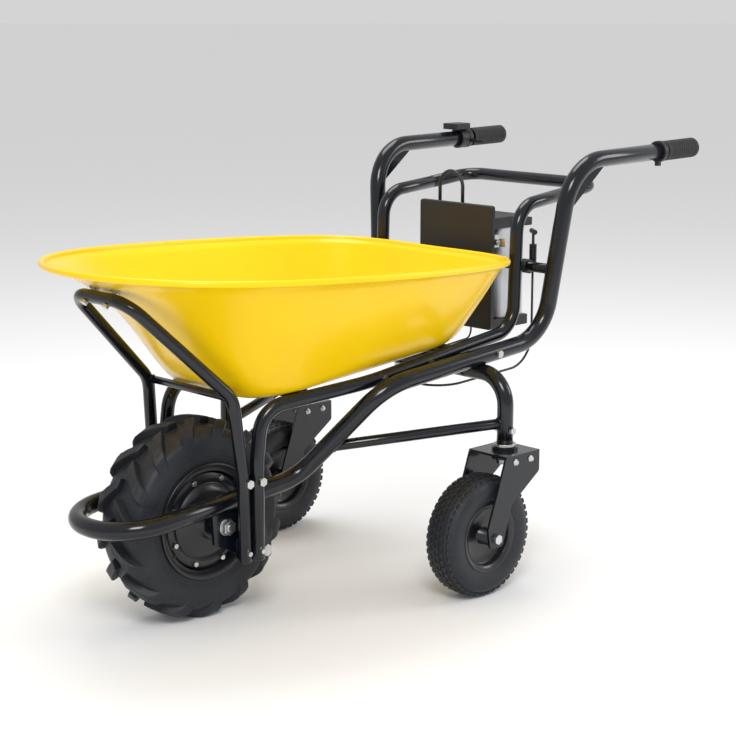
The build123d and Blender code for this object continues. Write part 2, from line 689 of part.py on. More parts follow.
lead_d = 8
lead_x = 806
lead_ys = (26, 96)
glands = []
lead_route = route([(lead_x, lead_ys[0], case_top + 24 + 14), (lead_x, lead_ys[0], 826), (lead_x, lead_ys[1], 826),
                    (lead_x, lead_ys[1], case_top + 24 + 14)], [34.9, 34.9])
lead = rod(lead_route, lead_d)
print("pack lead", round(lead_route.length), "mm, bends 34.9, tube over section",
      round(lead.volume / (math.pi * lead_d ** 2 / 4)))
save(lead, "pack_lead")
for y in lead_ys:
    g = hex_head((lead_x, y, case_top + 24 + 4), (0, 0, 1), 17, 8)
    glands.append(g + pin((lead_x, y, case_top + 24 + 11), (0, 0, 1), 14, 6))
save(group(glands), "lead_glands")

wire_d = 4
wire_route = route([(778, -30, pack_low), (778, -30, 462), (617, -70, 462)], [20])
sense = rod(wire_route, wire_d)
print("latch wire", round(wire_route.length), "mm, bend 20, tube over section",
      round(sense.volume / (math.pi * wire_d ** 2 / 4)))
save(sense, "latch_wire")

# ---- hand controls ----
ring_x = 1100
collar = pin(on_handle(ring_x), grip_axis, main_d + 11, 12)
collar += box((ring_x - 5, ring_x + 5), (-handle_half - 5, -handle_half + 5), (handle_h - 34, handle_h - 20))
collar -= main_solid
save(collar, "handle_collar")

clamp = pin(on_handle(ring_x - 22), grip_axis, main_d + 12, 24)
top = box((ring_x - 66, ring_x - 10), (-handle_half - 20, -handle_half + 26), (handle_h + 20, handle_h + 34))
top = fillet(top.edges().filter_by(Axis.Z), 8)
clamp = clamp + top
clamp -= main_solid
save(other_side(clamp), "throttle_body")
lever_ring = pin(on_handle(ring_x - 3), grip_axis, main_d + 12, 11)
paddle = box((ring_x - 8, ring_x + 2), (-handle_half + 14, -handle_half + 62), (handle_h - 12, handle_h - 6))
paddle = fillet(paddle.edges().filter_by(Axis.Z), 3)
lever_ring = lever_ring + paddle
lever_ring -= pin(on_handle(ring_x), grip_axis, main_d + 2 * fit, 200)
save(other_side(max(lever_ring.solids(), key=lambda s: s.volume)), "throttle_lever")

print("nodes", len(made))
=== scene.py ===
import math

import bmesh
import bpy
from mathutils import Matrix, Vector


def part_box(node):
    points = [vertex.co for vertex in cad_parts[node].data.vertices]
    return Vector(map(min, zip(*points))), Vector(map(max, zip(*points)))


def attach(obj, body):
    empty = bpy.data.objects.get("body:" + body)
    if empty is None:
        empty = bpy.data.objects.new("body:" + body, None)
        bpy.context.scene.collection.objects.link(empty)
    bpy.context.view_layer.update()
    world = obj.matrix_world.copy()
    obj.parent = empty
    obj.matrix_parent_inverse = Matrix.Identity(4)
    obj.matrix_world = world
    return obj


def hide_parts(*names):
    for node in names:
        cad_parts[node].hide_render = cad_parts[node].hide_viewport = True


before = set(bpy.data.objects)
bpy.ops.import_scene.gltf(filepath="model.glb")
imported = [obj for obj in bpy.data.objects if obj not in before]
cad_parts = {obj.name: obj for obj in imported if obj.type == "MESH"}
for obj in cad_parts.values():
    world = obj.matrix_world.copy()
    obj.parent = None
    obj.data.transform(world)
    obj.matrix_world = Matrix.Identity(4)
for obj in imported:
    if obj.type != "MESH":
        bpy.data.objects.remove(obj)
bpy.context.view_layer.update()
mm = 0.001

# ---- Main frame ----
# One bent steel tube on each side runs from the grip down past the tray and forward to the wheel,
# and a third tube bends round the wheel as a bumper. The tubes are welded and powder coated gloss black.

axle_low, axle_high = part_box("drive_axle")
axle = (axle_low + axle_high) / 2


def at(x, y, z):
    """A point given in mm, x counted back from the drive axle and z up from the floor."""
    return Vector((axle.x + x * mm, y * mm, z * mm))


def on_side(p, s):
    """A point of the left side in mm, carried to side s: -1 is left and 1 is right."""
    return at(p[0], -s * p[1], p[2])


def bent(points, radii, steps=12):
    """The middle line of a bent tube: straight runs joined by arcs."""
    line = [points[0]]
    for before, corner, after, radius in zip(points, points[1:], points[2:], radii):
        a = (before - corner).normalized()
        b = (after - corner).normalized()
        turn = a.angle(b)
        reach = radius * mm / math.tan(turn / 2)
        middle = corner + (a + b).normalized() * (radius * mm / math.sin(turn / 2))
        first = corner + a * reach - middle
        last = corner + b * reach - middle
        sweep = first.angle(last)
        for k in range(steps + 1):
            s = k / steps
            arc = first * math.sin((1 - s) * sweep) + last * math.sin(s * sweep)
            line.append(middle + arc / math.sin(sweep))
    line.append(points[-1])
    return line


def mesh_piece(name, verts, faces, material, body, smooth=True):
    """A new mesh object that moves with a body."""
    mesh = bpy.data.meshes.new(name)
    mesh.from_pydata([tuple(v) for v in verts], [], faces)
    mesh.materials.append(material)
    mesh.validate()
    shape = bmesh.new()
    shape.from_mesh(mesh)
    bmesh.ops.recalc_face_normals(shape, faces=shape.faces)
    shape.to_mesh(mesh)
    shape.free()
    for p in mesh.polygons:
        p.use_smooth = smooth
    piece = bpy.data.objects.new(name, mesh)
    bpy.context.scene.collection.objects.link(piece)
    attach(piece, body)
    return piece


def skin(rings, around, joined=False):
    """Faces between rings of points. Each ring is closed, and joined also ties the last ring to the first."""
    faces = []
    for i in range(rings if joined else rings - 1):
        j = (i + 1) % rings
        for k in range(around):
            m = (k + 1) % around
            faces.append((i * around + k, i * around + m, j * around + m, j * around + k))
    return faces


def spoke(u, v, angle):
    """A direction turned by an angle from u towards v."""
    return u * math.cos(angle) + v * math.sin(angle)


def ring_frames(line, closed=False):
    """A pair of cross directions at each point of a line, carried along without twist."""
    n = len(line)
    tangents = []
    for i in range(n):
        if closed:
            t = line[(i + 1) % n] - line[i - 1]
        else:
            t = line[min(i + 1, n - 1)] - line[max(i - 1, 0)]
        tangents.append(t.normalized())
    side = tangents[0].orthogonal().normalized()
    frames = []
    for t in tangents:
        side = (side - t * side.dot(t)).normalized()
        frames.append((side, t.cross(side)))
    return frames


def piped(name, line, radius, material, body, sides=28):
    """A round tube along a line, with rounded ends."""
    lip = 1.2
    rings = [(p, u, v, radius * mm) for p, (u, v) in zip(line, ring_frames(line))]
    inward = (line[1] - line[0]).normalized() * lip * mm
    back = (line[-2] - line[-1]).normalized() * lip * mm
    first, last = rings[0], rings[-1]
    head = [(*first[:3], (radius - lip) * mm), (first[0] + inward, *first[1:])]
    tail = [(last[0] + back, *last[1:]), (*last[:3], (radius - lip) * mm)]
    rings = head + rings[1:-1] + tail
    verts = []
    for p, u, v, r in rings:
        for k in range(sides):
            verts.append(p + spoke(u, v, 2 * math.pi * k / sides) * r)
    faces = skin(len(rings), sides)
    faces.append(tuple(range(sides)))
    faces.append(tuple((len(rings) - 1) * sides + k for k in range(sides)))
    return mesh_piece(name, verts, faces, material, body)


def finish(name, colour, second, rough, metal=0.0, coat=0.0, grain=900, grain_depth=0.02, patch=6, dust=0.0,
           shine=0.5):
    """A surface with a broken-up colour and roughness, a fine grain and a little dust where it faces up."""
    material = bpy.data.materials.new(name)
    material.use_nodes = True
    nodes, links = material.node_tree.nodes, material.node_tree.links
    shader = nodes["Principled BSDF"]
    shader.inputs["Metallic"].default_value = metal
    shader.inputs["Coat Weight"].default_value = coat
    shader.inputs["Coat Roughness"].default_value = 0.06
    shader.inputs["Specular IOR Level"].default_value = shine
    place = nodes.new("ShaderNodeTexCoord")

    def noise(scale, detail):
        texture = nodes.new("ShaderNodeTexNoise")
        texture.inputs["Scale"].default_value = scale
        texture.inputs["Detail"].default_value = detail
        links.new(place.outputs["Object"], texture.inputs["Vector"])
        return texture

    patches = noise(patch, 8)
    patches.inputs["Roughness"].default_value = 0.62
    mix = nodes.new("ShaderNodeMix")
    mix.data_type = "RGBA"
    mix.inputs["A"].default_value = (*colour, 1)
    mix.inputs["B"].default_value = (*second, 1)
    ramp = nodes.new("ShaderNodeMapRange")
    ramp.inputs["From Min"].default_value = 0.35
    ramp.inputs["From Max"].default_value = 0.7
    links.new(patches.outputs["Fac"], ramp.inputs["Value"])
    links.new(ramp.outputs["Result"], mix.inputs["Factor"])
    skin_colour = mix.outputs["Result"]
    if dust:
        facing = nodes.new("ShaderNodeNewGeometry")
        split = nodes.new("ShaderNodeSeparateXYZ")
        links.new(facing.outputs["Normal"], split.inputs["Vector"])
        up = nodes.new("ShaderNodeMapRange")
        up.inputs["From Min"].default_value = 0.3
        up.inputs["From Max"].default_value = 1.0
        up.inputs["To Max"].default_value = dust
        links.new(split.outputs["Z"], up.inputs["Value"])
        specks = noise(45, 10)
        both = nodes.new("ShaderNodeMath")
        both.operation = "MULTIPLY"
        links.new(up.outputs["Result"], both.inputs[0])
        links.new(specks.outputs["Fac"], both.inputs[1])
        settle = nodes.new("ShaderNodeMix")
        settle.data_type = "RGBA"
        settle.inputs["B"].default_value = (0.45, 0.43, 0.4, 1)
        links.new(skin_colour, settle.inputs["A"])
        links.new(both.outputs["Value"], settle.inputs["Factor"])
        skin_colour = settle.outputs["Result"]
    links.new(skin_colour, shader.inputs["Base Color"])
    gloss = nodes.new("ShaderNodeMapRange")
    gloss.inputs["To Min"].default_value = rough[0]
    gloss.inputs["To Max"].default_value = rough[1]
    links.new(patches.outputs["Fac"], gloss.inputs["Value"])
    links.new(gloss.outputs["Result"], shader.inputs["Roughness"])
    fine = noise(grain, 3)
    bump = nodes.new("ShaderNodeBump")
    bump.inputs["Strength"].default_value = grain_depth
    bump.inputs["Distance"].default_value = 0.0006
    links.new(fine.outputs["Fac"], bump.inputs["Height"])
    links.new(bump.outputs["Normal"], shader.inputs["Normal"])
    return material


black_coat = finish("black powder coat", (0.003, 0.004, 0.007), (0.006, 0.008, 0.013), (0.09, 0.22), coat=0.2,
                    grain=1400, grain_depth=0.1, dust=0.015, shine=0.38)

main_d = 36
bumper_half = 106
bumper_front = -246


def bumper_at(x):
    """Height of the bumper tube's middle."""
    return 248 + 0.085 * x


grip_end = (1224, -290, 876)
bend_top = (799, -294, 868)
bend_low = (766, -250, 494)
bend_mid = (300, -243, 454)
bend_front = (186, -bumper_half, bumper_at(186))
joint = (30, -bumper_half, bumper_at(30))
main_points = (grip_end, bend_top, bend_low, bend_mid, bend_front, joint)
main_bends = [105, 95, 105, 75]


def mirrored(p):
    return (p[0], -p[1], p[2])


for side, s in (("left", -1), ("right", 1)):
    line = bent([on_side(p, s) for p in main_points], main_bends)
    tube = piped(f"bent_tube_{side}", line, main_d / 2, black_coat, "chassis", sides=40)
    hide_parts(f"main_tube_{side}")

bumper_corner = (bumper_front, -bumper_half, bumper_at(bumper_front))
bumper_points = [joint, bumper_corner, mirrored(bumper_corner), mirrored(joint)]
bumper_line = bent([at(*p) for p in bumper_points], [bumper_half - 3, bumper_half - 3], steps=20)
bumper = piped("bumper", bumper_line, main_d / 2, black_coat, "chassis", sides=40)
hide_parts("bumper_loop")


def weld(name, start, along, radius, wall_point, wall_along, wall_radius, body, bead=2.2):
    """A rippled weld bead where a round branch meets the side of a round tube. Lengths are in mm."""
    d = along.normalized()
    m = wall_along.normalized()
    u = d.orthogonal().normalized()
    v = d.cross(u)
    line = []
    turns = 56
    for k in range(turns):
        foot = start + spoke(u, v, 2 * math.pi * k / turns) * radius * mm
        # how far the branch's wall runs on from here before it meets the tube
        q = foot - wall_point
        q = q - m * q.dot(m)
        e = d - m * d.dot(m)
        b = q.dot(e)
        c = q.dot(q) - (wall_radius * mm) ** 2
        room = b * b - e.dot(e) * c
        if room < 0:
            t = -b / e.dot(e)
        else:
            t = (-b - math.sqrt(room)) / e.dot(e)
        line.append(foot + d * t)
    sides = 8
    verts = []
    for i, (p, (s, w)) in enumerate(zip(line, ring_frames(line, True))):
        r = bead * mm * (1 + 0.16 * math.sin(i * 2 * math.pi / 4))
        for k in range(sides):
            verts.append(p + spoke(s, w, 2 * math.pi * k / sides) * r)
    piece = mesh_piece(name, verts, skin(turns, sides, joined=True), black_coat, body)


def eased(node, name, material, body, bevel=0.8, steps=2, flat=25):
    """A CAD piece with its sharp edges eased, as they are after pressing, cutting or moulding."""
    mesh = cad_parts[node].data.copy()
    shape = bmesh.new()
    shape.from_mesh(mesh)
    bmesh.ops.remove_doubles(shape, verts=shape.verts, dist=2e-6)
    bmesh.ops.dissolve_limit(shape, angle_limit=math.radians(0.6), verts=shape.verts, edges=shape.edges)
    for f in shape.faces:
        f.smooth = True
    shape.to_mesh(mesh)
    shape.free()
    mesh.materials.clear()
    mesh.materials.append(material)
    piece = bpy.data.objects.new(name, mesh)
    bpy.context.scene.collection.objects.link(piece)
    if bevel:
        cut = piece.modifiers.new("eased edges", "BEVEL")
        cut.width = bevel * mm
        cut.segments = steps
        cut.limit_method = "ANGLE"
        cut.angle_limit = math.radians(flat)
    level = piece.modifiers.new("even shading", "WEIGHTED_NORMAL")
    level.keep_sharp = True
    sharp = math.radians(38)
    edges = bmesh.new()
    edges.from_mesh(mesh)
    for e in edges.edges:
        if len(e.link_faces) == 2 and e.calc_face_angle(0) > sharp:
            e.smooth = False
    edges.to_mesh(mesh)
    edges.free()
    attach(piece, body)
    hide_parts(node)
    return piece


for node in ("bend_gussets", "dropouts"):
    plate = eased(node, f"{node}_cut", black_coat, "chassis", bevel=1.0)

crossbar_z = 640
crossbar_r = 11
tube_lap = 12
rise = (crossbar_z - bend_low[2]) / (bend_top[2] - bend_low[2])
crossbar_x = bend_low[0] + rise * (bend_top[0] - bend_low[0])
crossbar_half = -(bend_low[1] + rise * (bend_top[1] - bend_low[1]))
bar_line = [at(crossbar_x, y, crossbar_z) for y in (-crossbar_half + tube_lap, 0, crossbar_half - tube_lap)]
bar = piped("crossbar_tube", bar_line, crossbar_r, black_coat, "chassis")
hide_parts("crossbar")
for s in (-1, 1):
    upright = on_side(bend_top, s) - on_side(bend_low, s)
    weld(f"crossbar_weld_{s + 1}", at(crossbar_x, s * (crossbar_half - 60), crossbar_z), Vector((0, s, 0)),
         crossbar_r, at(crossbar_x, s * crossbar_half, crossbar_z), upright, main_d / 2, "chassis")

# ---- Rear legs ----
# An inverted U of steel tube is welded across under the main tubes and stands on the two casters.
# A thinner brace runs forward from each leg to the main tube.
leg_x = 574
leg_half = 317
leg_d = 34
leg_foot = 306
main_slope = (bend_low[2] - bend_mid[2]) / (bend_low[0] - bend_mid[0])
under_main = bend_mid[2] + (leg_x - bend_mid[0]) * main_slope
hoop_z = under_main - main_d / 2 - leg_d / 2 + 3
hoop_points = [at(leg_x, -leg_half, leg_foot), at(leg_x, -leg_half, hoop_z), at(leg_x, leg_half, hoop_z),
               at(leg_x, leg_half, leg_foot)]
hoop_line = bent(hoop_points, [62, 62], steps=16)
hoop = piped("leg_hoop_tube", hoop_line, leg_d / 2, black_coat, "chassis", sides=36)
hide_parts("leg_hoop")

share = 0.66
brace_r = 11
brace_z = 348
brace_front = [a + share * (b - a) for a, b in zip(bend_mid, bend_front)]
for s in (-1, 1):
    rear = at(leg_x, s * leg_half, brace_z)
    front = on_side(brace_front, s)
    run = (front - rear).normalized()
    line = [rear + run * 14 * mm, (rear + front) / 2, front - run * tube_lap * mm]
    brace = piped(f"leg_brace_tube_{s + 1}", line, brace_r, black_coat, "chassis")
    if s < 0:
        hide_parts("leg_braces")
    weld(f"brace_rear_weld_{s + 1}", rear + run * 60 * mm, -run, brace_r, rear, Vector((0, 0, 1)), leg_d / 2,
         "chassis")
    down = on_side(bend_front, s) - on_side(bend_mid, s)
    weld(f"brace_front_weld_{s + 1}", front - run * 60 * mm, run, brace_r, front, down, main_d / 2, "chassis")

# ---- Grips and hand controls ----
# Moulded rubber grips with raised rings are pushed over the tube ends. A plastic collar sits ahead of the
# left one, and a clamped throttle with a broad top and a thumb lever ahead of the right one.
rubber = finish("grip rubber", (0.008, 0.008, 0.009), (0.016, 0.016, 0.018), (0.5, 0.75), grain=1800,
                grain_depth=0.35)


def lathed(name, centre, axis, profile, material, body, sides=72):
    """A turned piece. The profile is (radius, place along the axis) in mm; points run round the section."""
    d = axis.normalized()
    u = d.orthogonal().normalized()
    v = d.cross(u)
    verts = []
    for k in range(sides):
        outward = spoke(u, v, 2 * math.pi * k / sides)
        for r, w in profile:
            verts.append(centre + outward * r * mm + d * w * mm)
    return mesh_piece(name, verts, skin(sides, len(profile), joined=True), material, body)


grip_along = Vector([a - b for a, b in zip(grip_end, bend_top)]).normalized()
grip_half = 56
collar_r = 22
ring_r = 21.9
groove_r = 20.9
ring_pitch = 8.2
grip_outline = [(18.1, -grip_half), (collar_r, -grip_half), (collar_r, -grip_half + 1.5),
                (collar_r, -grip_half + 3.5), (ring_r, -grip_half + 5)]
w = -grip_half + 8
while w < grip_half - 14:
    grip_outline += [(ring_r, w), (ring_r, w + 1.4), (groove_r, w + 2.2), (groove_r - 0.2, w + 4.2),
                     (groove_r, w + 6.0), (ring_r, w + 6.8)]
    w += ring_pitch
grip_outline += [(ring_r, grip_half - 8), (21.8, grip_half - 3), (20.5, grip_half - 1), (17, grip_half),
                 (0.4, grip_half), (0.4, grip_half - 3), (17.9, grip_half - 3.5)]
for s in (-1, 1):
    along = Vector((grip_along.x, -s * grip_along.y, grip_along.z))
    middle = on_side(grip_end, s) + along * (1 - grip_half) * mm
    grip = lathed(f"grip_sleeve_{s + 1}", middle, along, grip_outline, rubber, "chassis")
    if s < 0:
        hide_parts("grips")

black_plastic = finish("black moulded plastic", (0.006, 0.006, 0.007), (0.012, 0.012, 0.013), (0.38, 0.55),
                       grain=2200, grain_depth=0.3, dust=0.04)
for node in ("handle_collar", "throttle_body"):
    part = eased(node, f"{node}_moulding", black_plastic, "chassis", bevel=1.2, steps=3)
part = eased("throttle_lever", "throttle_lever_moulding", black_plastic, "throttle_lever", bevel=1.0, steps=3)

# ---- Tipping frame ----
# On each side one tube rises beside the wheel, carries the tray as a rail and bends up behind it to a
# lifting loop. A second, thinner tube forms the nose loop. Plates and bolts tie their feet together.
rail_y = -202
rail_r = 14
floor_slope = 0.126


def floor_at(x):
    """Height of the tray's floor, outside."""
    return 446 + floor_slope * (x - 100)


def rail_at(x):
    """Height of a rail's middle, just under the floor."""
    return floor_at(x) - rail_r - 0.4


leg_y = -(bumper_half + main_d / 2 + 6 + rail_r)
rear_leg_x = 50
leg_end_z = 132
loop_low = (733, rail_y, 772)
loop_end = (1007, -190, 800)
rail_end = tuple(a + 0.54 * (b - a) for a, b in zip(loop_low, loop_end))
rail_points = [(rear_leg_x, leg_y, leg_end_z), (rear_leg_x, leg_y, 330), (64, leg_y, rail_at(64) + 4),
               (300, -198, rail_at(300)), (724, rail_y, rail_at(724)), loop_low, rail_end]
for side, s in (("left", -1), ("right", 1)):
    line = bent([on_side(p, s) for p in rail_points], [120, 60, 400, 62, 62], steps=14)
    rail = piped(f"tray_rail_tube_{side}", line, rail_r, black_coat, "tray_frame", sides=32)
    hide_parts(f"tray_rail_{side}")
lift_points = [rail_end, loop_end, mirrored(loop_end), mirrored(rail_end)]
lift_line = bent([at(*p) for p in lift_points], [45, 45], steps=14)
lift = piped("lifting_loop", lift_line, rail_r, black_coat, "tray_frame", sides=32)
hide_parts("lift_loop")

nose_r = 12.5
front_leg_x = rear_leg_x - 2 * rail_r - 2
nose_y = leg_y + rail_r - nose_r
knee = (2, leg_y + 11, 459)
nose_corner = (-204, -84, 661)
nose_points = [(front_leg_x, nose_y, leg_end_z), (front_leg_x - 4, nose_y, 300), knee, nose_corner]
nose_points += [mirrored(p) for p in reversed(nose_points)]
nose_line = bent([at(*p) for p in nose_points], [200, 60, 50, 50, 60, 200], steps=14)
nose = piped("nose_tube", nose_line, nose_r, black_coat, "tray_frame", sides=32)
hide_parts("nose_loop")
knee_bar_r = 8
knee_bar_x = knee[0] + 4
knee_bar_z = knee[2] - 2
knee_line = [at(knee_bar_x, y, knee_bar_z) for y in (knee[1] + 9, 0, -knee[1] - 9)]
knee_bar = piped("knee_bar", knee_line, knee_bar_r, black_coat, "tray_frame")
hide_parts("knee_crossbar")
for s in (-1, 1):
    weld(f"knee_weld_{s + 1}", at(knee_bar_x, s * 60, knee_bar_z), Vector((0, s, 0)), knee_bar_r,
         on_side(knee, s), on_side(nose_corner, s) - on_side(knee, s), nose_r, "tray_frame", bead=1.8)
for node in ("leg_plates", "floor_straps", "catch_bar"):
    part = eased(node, f"{node}_cut", black_coat, "tray_frame")

# ---- Tray ----
# The tray is pressed from steel sheet, with a flat sloping floor, flared sides and a rim rolled outwards
# over a bead. It is powder coated gloss yellow and bolted to the rails and the nose tube.
yellow = finish("yellow powder coat", (0.96, 0.60, 0.001), (1.0, 0.66, 0.0015), (0.2, 0.3), coat=0.1,
                grain=420, patch=3, shine=0.28)
rim_half = [(-266, 0), (-240, 120), (-160, 226), (-20, 296), (210, 328), (430, 322), (575, 292), (652, 240),
            (680, 168), (681, 0)]
floor_half = [(46, 0), (47, 62), (62, 118), (112, 156), (250, 180), (420, 196), (520, 196), (570, 172),
              (588, 128), (590, 0)]
rim_drop = 0.047
tray_middle_x = 300
nose_belly = 42


def rim_at(x):
    """Height of the rim."""
    return 703 - rim_drop * x


def closed_curve(points, steps=9):
    """A smooth closed curve through points, as a list of points."""
    n = len(points)
    curve = []
    for i in range(n):
        p0, p1, p2, p3 = points[i - 1], points[i], points[(i + 1) % n], points[(i + 2) % n]
        d1 = max((p1 - p0).length, 1e-6) ** 0.5
        d2 = max((p2 - p1).length, 1e-6) ** 0.5
        d3 = max((p3 - p2).length, 1e-6) ** 0.5
        m1 = (p2 - p1) / d2 - (p2 - p0) / (d1 + d2) + (p1 - p0) / d1
        m2 = (p3 - p2) / d3 - (p3 - p1) / (d2 + d3) + (p2 - p1) / d2
        m1 *= d2
        m2 *= d2
        for k in range(steps):
            t = k / steps
            curve.append((2 * t ** 3 - 3 * t ** 2 + 1) * p1 + (t ** 3 - 2 * t ** 2 + t) * m1
                         + (-2 * t ** 3 + 3 * t ** 2) * p2 + (t ** 3 - t ** 2) * m2)
    return curve


def tray_ring(height, inset, lift=0.0):
    """A level ring of the tray; height 0 is the floor and 1 the rim."""
    half = []
    for (rx, ry), (fx, fy) in zip(rim_half, floor_half):
        run = rx - fx
        climb = rim_at(rx) - floor_at(fx)
        slope = (1 - height) * floor_slope - height * rim_drop
        part = height * (rim_at(fx) - floor_at(fx)) / (climb - run * slope)
        # the nose is hollowed between floor and rim, most at two thirds of the way up
        front = min(max((120 - fx) / 60, 0), 1)
        x = fx + run * part + nose_belly * front * 6.75 * part * part * (1 - part)
        y = fy + (ry - fy) * part
        half.append(Vector((x, y, 0)))
    whole = half + [Vector((p.x, -p.y, 0)) for p in reversed(half[1:-1])]
    ring = []
    for p in closed_curve(whole):
        size = math.hypot(p.x - tray_middle_x, p.y)
        x = p.x - inset * (p.x - tray_middle_x) / size
        y = p.y - inset * p.y / size
        ring.append(at(x, y, (1 - height) * floor_at(x) + height * rim_at(x) + lift))
    return ring


# height up the wall and how far in from the straight flare, for the pressed corner and the belly above it
wall = [(0.0, 24), (0.004, 19), (0.012, 13.5), (0.022, 9.5), (0.035, 6), (0.055, 3), (0.08, 1), (0.12, -0.8),
        (0.2, -2), (0.35, -3.3), (0.5, -4), (0.65, -3.4), (0.8, -2), (0.9, -1), (0.97, -0.2)]
corner = wall[0][1]
sheet = 1.6
inner_gap = 2.2
inside = [tray_ring(h, i + inner_gap, sheet) for h, i in wall]
outside = [tray_ring(h, i) for h, i in wall]
bead_r = 6.5
bead = []
for k in range(15):
    a = math.radians(200 - 24 * k)
    bead.append(tray_ring(1.0, -4.5 - bead_r * math.cos(a), -3 + bead_r * math.sin(a)))
floor_steps = (30, 60, 90, 112)
floor_in = [tray_ring(0.0, corner + inner_gap + d, sheet) for d in floor_steps]
floor_out = [tray_ring(0.0, corner + d) for d in floor_steps]
rings = list(reversed(floor_in)) + inside + bead + list(reversed(outside)) + floor_out
count = len(rings[0])
verts = [v for ring in rings for v in ring]
faces = skin(len(rings), count)
for i in (0, len(rings) - 1):
    middle = sum(rings[i], Vector()) / count
    middle.z = floor_at((middle.x - axle.x) / mm) * mm + (sheet * mm if i == 0 else 0)
    verts.append(middle)
    for k in range(count):
        faces.append((i * count + k, i * count + (k + 1) % count, len(verts) - 1))
tray = mesh_piece("tray_pressing", verts, faces, yellow, "tray_frame")
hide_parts("tray")

# ---- Drive wheel ----
# A hub motor forms the wheel: an enamelled steel rim, two dished covers held by a ring of bright screws,
# and a farm tyre with chevron lugs moulded on a rounded carcass.
tyre_rubber = finish("tyre rubber", (0.009, 0.0105, 0.0145), (0.018, 0.021, 0.028), (0.4, 0.6), grain=700,
                     grain_depth=0.35, patch=14, dust=0.06, shine=0.4)
enamel = finish("satin black enamel", (0.005, 0.006, 0.008), (0.011, 0.012, 0.016), (0.22, 0.38), coat=0.15,
                grain=1500, grain_depth=0.12, dust=0.05)
wheel_r = 200
across = Vector((0, 1, 0))
hub = at(0, 0, wheel_r)
carcass = [(104, 44), (106, 50), (111, 53.5), (118, 56), (128, 58.6), (140, 60.4), (153, 61), (164, 60.2),
           (172, 58), (176.5, 53), (180.5, 45), (183, 35), (184.4, 24), (185.1, 12), (185.3, 0)]
section = carcass + [(r, -w) for r, w in reversed(carcass[:-1])]
tyre = lathed("drive_tyre_carcass", hub, across, section, tyre_rubber, "drive_wheel", sides=120)
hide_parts("drive_tyre")


def lug_bars(count, name):
    """Chevron lugs: bars that start near the middle of the tread, sweep back and run down the shoulder."""
    # radius and width of the crest and of the foot, then how far back and how wide the bar is there
    cuts = [(197.5, 2, 178, 4, 0, 9.5), (199.7, 4, 178, 4, 1.5, 10.5), (199.6, 18, 178, 18, 13, 11.2),
            (199.0, 32, 176, 30, 26, 12.2), (197.0, 44, 172, 40, 37, 13.2), (192.5, 52, 166, 46, 45, 13.8),
            (185.0, 57.6, 160, 50, 51, 14), (175.0, 60.4, 154, 52, 55, 13.4), (164.0, 60.9, 150, 54, 58, 12),
            (154.0, 60.7, 147, 56, 60, 10), (148, 59.4, 146, 56, 61, 8.5)]
    tread_r = 189
    flank = 4
    easing = 0.07
    around = 6
    verts, faces = [], []
    for n in range(count):
        for s in (-1, 1):
            turn = 2 * math.pi * (n + (0.5 if s > 0 else 0)) / count
            base = len(verts)
            for crest_r, crest_w, foot_r, foot_w, sweep, half in cuts:
                soft_r = crest_r + (foot_r - crest_r) * easing
                soft_w = crest_w + (foot_w - crest_w) * easing
                section = ((foot_r, foot_w, -half - flank), (soft_r, soft_w, -half - 0.4),
                           (crest_r, crest_w, 1 - half), (crest_r, crest_w, half - 1),
                           (soft_r, soft_w, half + 0.4), (foot_r, foot_w, half + flank))
                for r, w, h in section:
                    a = turn + (sweep + h) / tread_r
                    outward = Vector((-math.sin(a) * r, 0, math.cos(a) * r))
                    verts.append(hub + outward * mm + across * s * w * mm)
            faces += [tuple(base + v for v in f) for f in skin(len(cuts), around)]
            faces.append(tuple(base + k for k in range(around)))
            faces.append(tuple(base + (len(cuts) - 1) * around + k for k in range(around)))
    piece = mesh_piece(name, verts, faces, tyre_rubber, "drive_wheel", smooth=False)
    soft = piece.modifiers.new("moulded edges", "BEVEL")
    soft.width = 1.1 * mm
    soft.segments = 2
    soft.angle_limit = math.radians(24)


lug_bars(15, "drive_tyre_lugs")
for s in (-1, 1):
    for r, w in ((128, 58.4), (134, 59.4), (112, 53.6)):
        rib = [(r - 1.5, w - 0.6), (r - 1, w + 0.7), (r + 1, w + 0.8), (r + 1.5, w - 0.2)]
        rib = [(a, s * b) for a, b in rib]
        ring = lathed(f"side_rib_{s + 1}_{r}", hub, across, rib, tyre_rubber, "drive_wheel", sides=120)

rim_section = [(86, -40), (100, -40), (100, -53), (101.5, -55.5), (112, -59), (115, -59.8), (117, -59.2),
               (117.6, -57.8), (116.6, -56.6), (106, -51), (104, -49), (103.9, -47)]
rim_section += [(r, -w) for r, w in reversed(rim_section)]
rim = lathed("drive_rim_turning", hub, across, rim_section, enamel, "drive_wheel", sides=96)
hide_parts("drive_rim")
cover_section = [(8.1, 30), (84, 30), (84, 40), (97.4, 40), (97.8, 41.5), (96.8, 47), (95.4, 48.2),
                 (80, 51.5), (78.8, 50.6), (76.5, 50.6), (75.4, 52.6), (62, 57), (60, 57.6), (36, 61),
                 (33.6, 62.4), (31, 73), (29.4, 74.8), (12, 75), (8.1, 75)]
for s in (-1, 1):
    dish = [(r, s * w) for r, w in cover_section]
    cover = lathed(f"motor_cover_dish_{s + 1}", hub, across, dish, enamel, "drive_wheel", sides=96)
    if s < 0:
        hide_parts("motor_covers")

zinc = finish("bright zinc", (0.62, 0.63, 0.64), (0.48, 0.48, 0.47), (0.2, 0.42), metal=1.0, grain=1300,
              grain_depth=0.15, patch=60)
screws = eased("cover_screws", "cover_screw_heads", zinc, "drive_wheel")
shaft = eased("drive_axle", "drive_axle_bar", zinc, "chassis", bevel=1.2)
nuts = eased("axle_hardware", "axle_nuts", zinc, "chassis", bevel=0.9)
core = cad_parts["motor_stator"]
core.data.materials.clear()
core_iron = finish("motor core", (0.2, 0.16, 0.12), (0.3, 0.25, 0.2), (0.5, 0.7), metal=0.6)
core.data.materials.append(core_iron)

